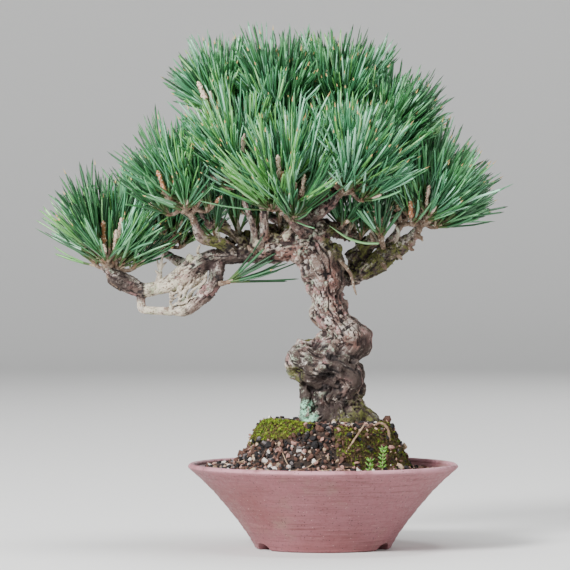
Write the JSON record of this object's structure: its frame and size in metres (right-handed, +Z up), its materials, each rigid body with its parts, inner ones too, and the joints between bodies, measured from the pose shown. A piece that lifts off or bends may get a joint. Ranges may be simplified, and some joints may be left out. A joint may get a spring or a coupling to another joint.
{
  "type": "japanese black pine bonsai in a pot",
  "caption": "Small potted black pine with a corkscrew trunk, a long left bough and upright tufts of paired needles, in a round flared clay pot.",
  "frame": {"origin": "on the table under the middle of the whole plant's box", "axes": "+Z up, -Y to the front of the tree, -X to the long bough's side"},
  "size_m": [0.221, 0.1598, 0.2382],
  "materials": {
    "pot_clay": "unglazed fired clay, matt, with fine dark specks",
    "soil": "loose brown and grey grit",
    "moss": "low green moss",
    "bark": "rough plated bark with lichen",
    "needles": "dark green pine needles"
  },
  "bodies": {
    "root": {"pot": "pot_clay", "soil": "soil", "moss_left": "moss", "moss_right": "moss", "trunk": "bark", "left_bough": "bark", "left_loop_limb": "bark", "left_loop_end": "bark", "left_mid_bough": "bark", "left_back_bough": "bark", "front_left_bough": "bark", "bare_snag": "bark", "right_bough": "bark", "right_back_bough": "bark", "front_bough": "bark", "front_right_bough": "bark", "right_upper_bough": "bark", "back_left_bough": "bark", "back_right_bough": "bark", "upper_left_bough": "bark", "back_top_bough": "bark", "top_right_bough": "bark", "foliage_left_low": "needles", "foliage_left_back": "needles", "foliage_left_mid": "needles", "foliage_under_left": "needles", "foliage_front_left": "needles", "foliage_front": "needles", "foliage_front_right": "needles", "foliage_right_front": "needles", "foliage_right_low": "needles", "foliage_right_back": "needles", "foliage_right_upper": "needles", "foliage_back_left": "needles", "foliage_back_right": "needles", "foliage_upper_left": "needles", "foliage_top_left": "needles", "foliage_top_right": "needles", "foliage_back_top": "needles"}
  },
  "joints": []
}
